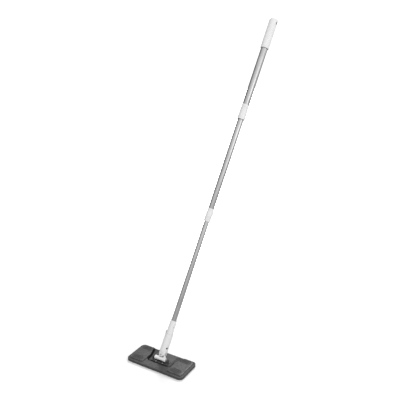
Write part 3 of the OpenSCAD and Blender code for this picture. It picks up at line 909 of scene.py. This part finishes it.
def snap_button():
    """Domed push button on a flange."""
    low, high = node_span("snap_button", BUTTON)
    tip, back, flange = high[2], low[2], high[0]
    flange_t, dome = 1.5, 1.3
    outline = [(0, back), (flange, back), (flange, back + flange_t - 0.3), (flange - 0.3, back + flange_t)]
    outline += [(BUTTON_R, back + flange_t), (BUTTON_R, tip - dome)]
    outline += [(BUTTON_R * math.cos(a), tip - dome + dome * math.sin(a)) for a in (0.3, 0.6, 0.9, 1.2, 1.4)]
    outline += [(0, tip)]
    obj = mesh_object("snap_button_domed", lathe(outline, 48), BUTTON, 40)
    add_piece(obj, "button", "dark_button", "snap_button")


def button_spring():
    """Coil spring behind the button: a wire carried along a helix, its ends closed."""
    low, high = node_span("button_spring", BUTTON)
    length = high[2] - low[2]
    wire_r = 0.35
    coil_r = high[0] - wire_r
    turns, steps, sides = 5, 24, 8
    section = [(wire_r * math.cos(a), wire_r * math.sin(a)) for a in np.arange(sides) * 2 * math.pi / sides]
    rings = []
    for k in range(turns * steps + 1):
        angle = 2 * math.pi * k / steps
        z = low[2] + wire_r + (length - 2 * wire_r) * k / (turns * steps)
        cos, sin = math.cos(angle), math.sin(angle)
        rings.append([((coil_r + a) * cos, (coil_r + a) * sin, z + b) for a, b in section])
    obj = mesh_object("coil_spring", skinned(rings, False), BUTTON, 60)
    add_piece(obj, "lower_stage", "steel", "button_spring")
    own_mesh(obj)


def axle_bracket():
    """Base slab with two rounded cheeks, blended at their feet, bored for the axle and four screws."""
    low, high = node_span("axle_bracket")
    half_l, half_w = (high[0] - low[0]) / 2, (high[1] - low[1]) / 2
    barrel_z = JOINTS["head_pitch"]["pos_m"][2] / MM
    r = high[2] - barrel_z
    inner, outer = half_l - 8, half_l - 3
    foot, blend_z = r + 1.6, SLAB_TOP + 2.6
    cheek = [(-foot, SLAB_TOP - 0.6), (foot, SLAB_TOP - 0.6), (r, blend_z)]
    cheek += [(r * math.cos(a), barrel_z + r * math.sin(a)) for a in np.linspace(0, math.pi, 19)]
    cheek += [(-r, blend_z)]
    shapes = [prism(rounded_plan(half_l, half_w, 4, 1.5), low[2], SLAB_TOP)]
    shapes += [placed(prism(cheek, *ends), ALONG_X) for ends in ((-outer, -inner), (inner, outer))]
    shapes = [moved(shape, 0, BARREL_Y) for shape in shapes]
    obj = mesh_object("axle_cheeks", fused(shapes, 0.4, 4), HEAD, 45)
    axle = placed(rod(PIN_R + SLIP, 4 - half_l, half_l - 4), ALONG_X)
    cut(obj, moved(axle, 0, BARREL_Y, barrel_z), HEAD, 45)
    for x, y in bracket_screw_places():
        cut(obj, moved(rod(SCREW_R + SLIP, low[2] - 2, high[2], 24), x, y), HEAD, 45)
    add_piece(obj, "head", "head_plastic", "axle_bracket")


def bracket_screw_places():
    low, high = node_span("bracket_screws")
    for x in (low[0] + SCREW_HEAD_R, high[0] - SCREW_HEAD_R):
        for y in (low[1] + SCREW_HEAD_R, high[1] - SCREW_HEAD_R):
            yield x, y


def bracket_screws():
    """Pan-head screws with cross recesses."""
    low, high = node_span("bracket_screws")
    top, bottom = high[2], low[2]
    outline = filleted([
        (0, bottom, 0), (SCREW_R, bottom, 0.3), (SCREW_R, SLAB_TOP, 0), (SCREW_HEAD_R, SLAB_TOP, 0.2),
        (SCREW_HEAD_R, top, 0.9), (0, top, 0),
    ])
    bar_l, bar_w = 1.7, 0.3
    bar = prism([(-bar_l, -bar_w), (bar_l, -bar_w), (bar_l, bar_w), (-bar_l, bar_w)], top - 0.7, top + 1)
    shapes = []
    for i, (x, y) in enumerate(bracket_screw_places()):
        obj = mesh_object("screw", lathe(outline, 40))
        turned = Matrix.Rotation(0.4 + 0.7 * i, 4, "Z")
        for quarter in (0, math.pi / 2):
            cut(obj, placed(bar, turned @ Matrix.Rotation(quarter, 4, "Z")), HEAD)
        shapes.append(moved(shape_of(obj), x, y))
    add_piece(mesh_object("bracket_screw_set", joined(*shapes), HEAD, 40), "head", "steel", "bracket_screws")


# ---- pole ----

def cut_cross_pin(obj):
    cut(obj, rod(ADAPTER_PIN_R + SLIP, -THROUGH, THROUGH, 32), CROSS_PIN, 40)


def tube(node, body):
    """A drawn tube with softened ends, in the space of its CAD node."""
    low, high = node_span(node, POLE)
    outer, inner, soft = high[0], high[0] - TUBE_WALL, 0.25
    outline = filleted([
        (inner, low[2], soft), (outer, low[2], soft), (outer, high[2], soft), (inner, high[2], soft),
    ])
    obj = mesh_object(node + "_drawn", lathe(outline, 96), POLE, 40)
    if node == "lower_tube":
        cut_cross_pin(obj)
    add_piece(obj, body, "tube_aluminium", node)


def oval_push(z0, z1, width, depth, turn):
    """Thumb ovals on both sides of a nut, with a faint raised rim."""
    middle, half = (z0 + z1) / 2, (z1 - z0) / 2

    def push(angle, radius, z):
        moved = 0.0
        for way in (turn, turn + math.pi):
            off = (angle - way + math.pi) % (2 * math.pi) - math.pi
            across = off * radius
            over = max(abs(z - middle) - (half - width / 2), 0)
            edge = width / 2 - math.hypot(across, over)
            moved -= depth * float(smooth_step(edge, -0.2, 1.2))
            moved += 0.16 * float(ridge(edge + 0.9, 0.7))
        return moved
    return push


def nut_outline(z0, z1, r_low, r_high, r_tube, r_next, sleeve_l, grooves):
    """Section of a twist nut: dark open mouth, grooves round its foot, tapered body, rolled top."""
    def outer(z):
        return r_low + (r_high - r_low) * (z - z0) / (z1 - z0)
    mouth_r, groove_w, groove_foot = r_next + 0.3, 0.7, 0.3
    corners = [(mouth_r, z0 + 2.0, 0), (r_next + 1.5, z0 + 1.8, 0.2), (r_next + 1.8, z0, 0.3)]
    corners += [(outer(z0) - 0.1, z0, 0.6)]
    for z in grooves:
        floor_r = outer(z) - 0.55
        corners += [
            (outer(z - groove_w), z - groove_w, 0.2), (floor_r, z - groove_foot, 0.15),
            (floor_r, z + groove_foot, 0.15), (outer(z + groove_w), z + groove_w, 0.2),
        ]
    cup_top, cup_r = z0 + NUT_CUP + sleeve_l + 0.5, r_tube + 0.75
    corners += [
        (outer(z1) - 0.1, z1, 0.8), (r_tube + SLIP, z1, 0.3), (r_tube + SLIP, cup_top, 0.1),
        (cup_r, cup_top, 0.1), (cup_r, z0 + 2.5, 0.1), (mouth_r, z0 + 2.5, 0.1),
    ]
    return densify(filleted(corners), 0.8)


def upper_nut():
    low, high = node_span("upper_lock_nut", POLE)
    z0, z1 = low[2], high[2]
    outline = nut_outline(z0, z1, UPPER_R + 2.5, UPPER_R + 0.8, UPPER_R, MIDDLE_R, 14, ())
    push = oval_push(z0 + 13, z1 - 9, 14, 0.55, THUMB_TURN)
    shape = lathe(outline, 160, lambda angle, r, z: push(angle, r, z) if r > UPPER_R + 1.0 else 0)
    obj = mesh_object("upper_twist_nut", shape, POLE, 40)
    add_piece(obj, "upper_nut", "white_plastic", "upper_lock_nut")


def lower_nut():
    """Lower twist nut with grooves and a small rib, and the separate ring at its foot."""
    low, high = node_span("lower_lock_nut", POLE)
    z0, z1 = low[2], high[2]
    outline = nut_outline(z0, z1, MIDDLE_R + 2.6, MIDDLE_R + 0.8, MIDDLE_R, LOWER_R, 12, (z0 + 12, z0 + 17.5))
    push = oval_push(z0 + 21, z1 - 5, 13, 0.5, THUMB_TURN)
    inside = MIDDLE_R + 0.78
    shape = lathe(outline, 160, lambda angle, r, z: push(angle, r, z) if r > inside and z < z1 - 1 else 0)
    stand = local_frame(Vector((0, 0, 1)).cross(RIB_WAY), RIB_WAY, Vector((0, 0, 0)))
    rib = placed(prism(rounded_plan(1.0, 4.0, 0.9, 0.8), 0, 3.9), stand)
    rib = moved(rib, *(RIB_WAY * (MIDDLE_R + 0.4) + Vector((0, 0, z0 + 31))))
    obj = mesh_object("lower_twist_nut", joined(shape, rib), POLE, 40)
    add_piece(obj, "lower_nut", "white_plastic", "lower_lock_nut")

    low, high = node_span("lower_nut_ring", POLE)
    z0, z1, outer, inner = low[2], high[2], high[0], high[0] - 0.4
    outline = filleted([(inner, z0, 0.1), (outer, z0, 0.15), (outer, z1, 0.15), (inner, z1, 0.1)])
    obj = mesh_object("nut_ring", lathe(outline, 128), POLE, 40)
    add_piece(obj, "lower_nut", "white_plastic", "lower_nut_ring")


def pole_adapter():
    """Tapered sleeve with a collar, a spigot down into the socket and a small lug."""
    low, high = node_span("pole_adapter", POLE)
    bottom, top = low[2], high[2]
    seat = SOCKET_TOP + 0.2
    collar_r, bore_r = 13.3, LOWER_R + 0.02
    outline = filleted([
        (ADAPTER_BORE, bottom, 0.2), (SPIGOT_R, bottom, 0.8), (SPIGOT_R, seat, 0), (collar_r, seat, 0.3),
        (collar_r, seat + 2.6, 0.6), (12.4, seat + 3.0, 0.4), (11.7, top, 0.9), (bore_r, top, 0.3),
        (bore_r, TUBE_SEAT, 0.1), (ADAPTER_BORE, TUBE_SEAT, 0.1),
    ])
    obj = mesh_object("adapter_sleeve", lathe(densify(outline, 6), 128), POLE, 40)
    cut(obj, rod(BUTTON_R + 0.15, 0, THROUGH, 40), BUTTON, 40)
    cut_cross_pin(obj)
    lug = moved(prism(rounded_plan(1.9, 1.9, 0.8, 0.8), 0, 9.0), collar_r + 0.6, 0, seat)
    lug = placed(lug, Matrix.Rotation(LUG_TURN, 4, "Z"))
    add_piece(mesh_object("adapter_lug", lug, POLE, 40), "lower_stage", "white_plastic")
    add_piece(obj, "lower_stage", "white_plastic", "pole_adapter")


def grip():
    """Rounded grip with a lip at its foot and a flared hole to hang it by."""
    low, high = node_span("grip", POLE)
    z0, z1, r = low[2], high[2], high[0]
    seat = node_span("upper_tube", POLE)[1][2] + 0.2
    bore_r = UPPER_R + 0.02
    outline = filleted([
        (bore_r, z0, 0.2), (r - 0.3, z0, 0.9), (r, z0 + 3.2, 0.5), (r, z1, 7.5), (0, z1, 0), (0, seat, 0),
        (bore_r, seat, 0.2),
    ])
    obj = mesh_object("hand_grip", lathe(densify(outline, 6), 128), POLE, 40)
    hang = MOUNTS["hang_hole"]
    hole_r = hang["dims"]["r_mm"]
    centre = POLE.inverted() @ Vector(hang["pos_m"]) / MM
    half = [(hole_r, r - 2.2), (hole_r + 0.5, r - 0.8), (hole_r + 1.5, r - 0.1), (hole_r + 6, 20), (0, 20)]
    outline = [(radius, -z) for radius, z in half[::-1]] + half
    cut(obj, moved(placed(lathe(outline, 64), ALONG_X), 0, 0, centre.z), POLE, 40)
    add_piece(obj, "handle", "grip_plastic", "grip")


# ---- sole and pad ----

HOOK_HALF = (100.0, 12.0)
HOOK_R = 3.0
HOOK_T = 0.8
PAD_STEP = 4.0
PAD_SWELL = 1.1
PAD_SEAM_GAP = 20.0


def hook_centres():
    low, high = node_span("hook_strips")
    return [(0, low[1] + HOOK_HALF[1]), (0, high[1] - HOOK_HALF[1])]


def foam_sole():
    """Foam sheet with two shallow seats for the hook strips and a pitted skin."""
    low, high = node_span("foam_sole")

    def under(x, y):
        pits = 0.05 * np.sin(x * 2.1 + 3 * np.sin(y * 0.7)) * np.sin(y * 2.3 + 2 * np.sin(x * 0.9))
        z = low[2] + np.maximum(0.03 + pits, 0.02)
        for cx, cy in hook_centres():
            seat = box_distance(x - cx, y - cy, HOOK_HALF[0] + 0.2, HOOK_HALF[1] + 0.2, HOOK_R)
            z = np.where(seat < 0.3, low[2] + HOOK_T + 0.02, z)
        return z

    shape = relief(high[0] - SLIP, high[1] - SLIP, COVER_R, 1.6, level(high[2] - 0.02), under)
    add_piece(mesh_object("foam_sheet", shape, HEAD, 60), "head", "foam", "foam_sole")


def hook(way):
    """One small hook, a square wire bent to one side below its foot."""
    bend = [(0, 0.02), (0, -0.2), (0.2, -0.38), (0.42, -0.24)]
    half = 0.11
    section = [(-half, -half), (half, -half), (half, half), (-half, half)]
    return skinned([[(way * x + a, b, z) for a, b in section] for x, z in bend], False)


def hook_strips():
    """Two strips of tape, each with rows of small bent hooks that hold the pad."""
    low = node_span("hook_strips")[0][2]
    tape_z = low + 0.45
    pitch_x, pitch_y, stagger = 2.6, 2.4, 0.6
    columns, rows = int(2 * HOOK_HALF[0] / pitch_x), int(2 * HOOK_HALF[1] / pitch_y)
    tape = prism(rounded_plan(*HOOK_HALF, HOOK_R, 2), tape_z, low + HOOK_T)
    shapes = []
    for cx, cy in hook_centres():
        shapes.append(moved(tape, cx, cy))
        for i in range(columns):
            for j in range(rows):
                way = 1 if j % 2 else -1
                x = cx + (i + 0.5 - columns / 2) * pitch_x + way * stagger
                shapes.append(moved(hook(way), x, cy + (j + 0.5 - rows / 2) * pitch_y, tape_z))
    add_piece(mesh_object("hook_rows", joined(*shapes), HEAD, 30), "head", "hook_tape", "hook_strips")


def swollen(obj, held, cap):
    """Swells a soft piece with a short cloth simulation; held lists the weight that pins each vertex."""
    rest = np.array([vertex.co for vertex in obj.data.vertices])
    group = obj.vertex_groups.new(name="held")
    for index, weight in enumerate(held):
        if weight > 0:
            group.add([index], float(weight), "REPLACE")
    modifier = obj.modifiers.new("cloth", "CLOTH")
    settings = modifier.settings
    settings.quality = 6
    settings.mass = 0.2
    settings.use_pressure = True
    settings.uniform_pressure_force = 4.0
    settings.effector_weights.gravity = 0.0
    settings.vertex_group_mass = "held"
    settings.tension_stiffness = 10.0
    settings.bending_stiffness = 0.5
    modifier.collision_settings.use_collision = False
    scene = bpy.context.scene
    for step in range(1, 21):
        scene.frame_set(step)
    apply_modifiers(obj)
    scene.frame_set(1)
    swell = np.array([vertex.co for vertex in obj.data.vertices]) - rest
    length = np.linalg.norm(swell, axis=1, keepdims=True)
    swell *= np.minimum(1.0, cap * MM / np.maximum(length, 1e-9))
    obj.data.vertices.foreach_set("co", (rest + swell).ravel())


def terry_pad(low, high):
    """The pad's quilted body: swelled between its seams, then tufted."""
    inset = 1.2
    half_x, half_y, radius = high[0] - inset, high[1] - inset, HEAD_R - inset
    shape = relief(half_x, half_y, radius, PAD_STEP, level(high[2] - 1.1), level(low[2] + 1.1))
    obj = mesh_object("terry_pad", shape, HEAD, 180)
    x, y = np.array([vertex.co[:2] for vertex in obj.data.vertices]).T / MM
    seam = np.zeros_like(x)
    for crossing in ((x + y) / PAD_SEAM_GAP, (x - y) / PAD_SEAM_GAP):
        seam = np.maximum(seam, ridge((crossing - np.round(crossing)) * PAD_SEAM_GAP, 1.6))
    edge = -box_distance(x, y, half_x, half_y, radius)
    held = np.where((edge < 1.0) | (seam > 0.5), 1.0, 0.0)
    swollen(obj, held, PAD_SWELL)
    subdivision = obj.modifiers.new("finer", "SUBSURF")
    subdivision.levels = 2
    apply_modifiers(obj)
    points = np.array([vertex.co for vertex in obj.data.vertices]) / MM
    for i, (x, y, z) in enumerate(points):
        tuft = 0.22 * noise.noise((x * 0.9, y * 0.9, z))
        points[i, 2] = min(max(z + tuft, low[2] + 0.02), high[2] - 0.05)
    obj.data.vertices.foreach_set("co", (points * MM).ravel())
    clean(obj.data, 180)
    add_piece(obj, "pad", "pad_fabric", "microfibre_pad")


def microfibre_pad():
    """Terry pad with a tape bound round its edge and a row of stitches."""
    low, high = node_span("microfibre_pad")
    terry_pad(low, high)
    half_x, half_y = high[0], high[1]
    hem = -6.0
    tape = filleted([
        (hem, low[2] + 0.5, 0.2), (-0.9, low[2] + 0.15, 0.6), (0, low[2] + 1.0, 0.9), (0, high[2] - 0.9, 0.9),
        (-0.9, high[2] - 0.06, 0.6), (hem, high[2] - 0.4, 0.2),
    ])
    loop = rounded_loop(half_x, half_y, HEAD_R, 1.5)
    add_piece(mesh_object("pad_binding", sweep(loop, tape), HEAD, 60), "pad", "pad_fabric")

    seam_in = 4.0
    dash = prism(rounded_plan(0.2, 1.0, 0.19, 0.2), low[2] + 0.12, low[2] + 0.5)
    stitches = []
    for x, y, nx, ny in rounded_loop(half_x, half_y, HEAD_R, 1.7)[::2]:
        turned = placed(dash, Matrix.Rotation(math.atan2(ny, nx), 4, "Z"))
        stitches.append(moved(turned, x - seam_in * nx, y - seam_in * ny))
    add_piece(mesh_object("binding_stitches", joined(*stitches), HEAD, 40), "pad", "pad_fabric")


dress_nodes()
top_cover()
base_plate()
edge_bumper()
sheet_grippers()
axle_bracket()
bracket_screws()
foam_sole()
hook_strips()
microfibre_pad()
head_socket()
t_joint()
tilt_rivet()
snap_button()
button_spring()
pole_adapter()
upper_nut()
lower_nut()
tube("lower_tube", "lower_stage")
tube("middle_tube", "middle_stage")
tube("upper_tube", "handle")
grip()


# ---- floor, light, camera ----

# What the camera sees of the floor near and far and of the room, and what the object gets from them
FLOOR_WHITE, FLOOR_FAR, FLOOR_BOUNCE = 0.84, 3.0, 0.5
WORLD_WHITE, WORLD_DIM, WORLD_BRIGHT = 1.2, 0.15, 1.38
BRIGHT_WAY = Vector((0.70, -0.42, 0.58))
CAMERA_PLACE = (0.844, -1.152, 0.982)
CAMERA_WAY = Vector((-0.4925, 0.8322, -0.2549))


def floor():
    """A wide white floor: bright to the camera, greyer to the object, so that its sides keep their shade."""
    half = 60.0
    corners = [(-half, -half, 0), (half, -half, 0), (half, half, 0), (-half, half, 0)]
    mesh = bpy.data.meshes.new("floor")
    mesh.from_pydata(corners, [], [tuple(range(4))])
    obj = add_object("floor", mesh)
    s = Shader("floor_white")
    matt = s.node("ShaderNodeBsdfDiffuse")
    away = s.node("ShaderNodeVectorMath", operation="LENGTH")
    s.link(s.coords, away.inputs[0])
    white = s.span(away.outputs["Value"], FLOOR_WHITE, FLOOR_FAR, (0.2, 1.0))
    s.link(s.seen(white, FLOOR_BOUNCE), matt.inputs["Color"])
    s.link(matt.outputs["BSDF"], s.tree.nodes["Material Output"].inputs["Surface"])
    mesh.materials.append(s.material)
    obj.location.z = -0.0003


def area_light(name, place, aim, size, power):
    data = bpy.data.lights.new(name, "AREA")
    data.shape = "DISK"
    data.size = size
    data.energy = power
    obj = add_object(name, data)
    obj.location = place
    obj.rotation_euler = (Vector(aim) - Vector(place)).to_track_quat("-Z", "Y").to_euler()


def studio():
    """A white room to the camera; to the object, bright above and to the right, dim on the left."""
    world = bpy.data.worlds.new("studio")
    bpy.context.scene.world = world
    world.use_nodes = True
    s = Nodes(world.node_tree)
    back = s.tree.nodes["Background"]
    back.inputs["Color"].default_value = (1, 1, 1, 1)
    facing = s.node("ShaderNodeVectorMath", operation="DOT_PRODUCT")
    facing.inputs[1].default_value = BRIGHT_WAY.normalized()
    s.link(s.node("ShaderNodeTexCoord").outputs["Generated"], facing.inputs[0])
    glow = s.span(facing.outputs["Value"], WORLD_DIM, WORLD_BRIGHT, (-0.7, 1.0), "SMOOTHSTEP")
    s.link(s.seen(WORLD_WHITE, glow), back.inputs["Strength"])
    area_light("key", (-0.8, 2.2, 2.3), (0, 0, 0.3), 1.0, 50)
    area_light("side", (2.6, -0.7, 1.4), (0.1, 0.1, 0.8), 1.2, 9)


def camera():
    data = bpy.data.cameras.new("camera")
    data.sensor_width = 36.0
    data.lens = 40.5
    obj = add_object("camera", data)
    obj.location = CAMERA_PLACE
    obj.rotation_euler = CAMERA_WAY.to_track_quat("-Z", "Y").to_euler()
    bpy.context.scene.camera = obj


floor()
studio()
camera()

bpy.context.scene.view_settings.view_transform = "Standard"
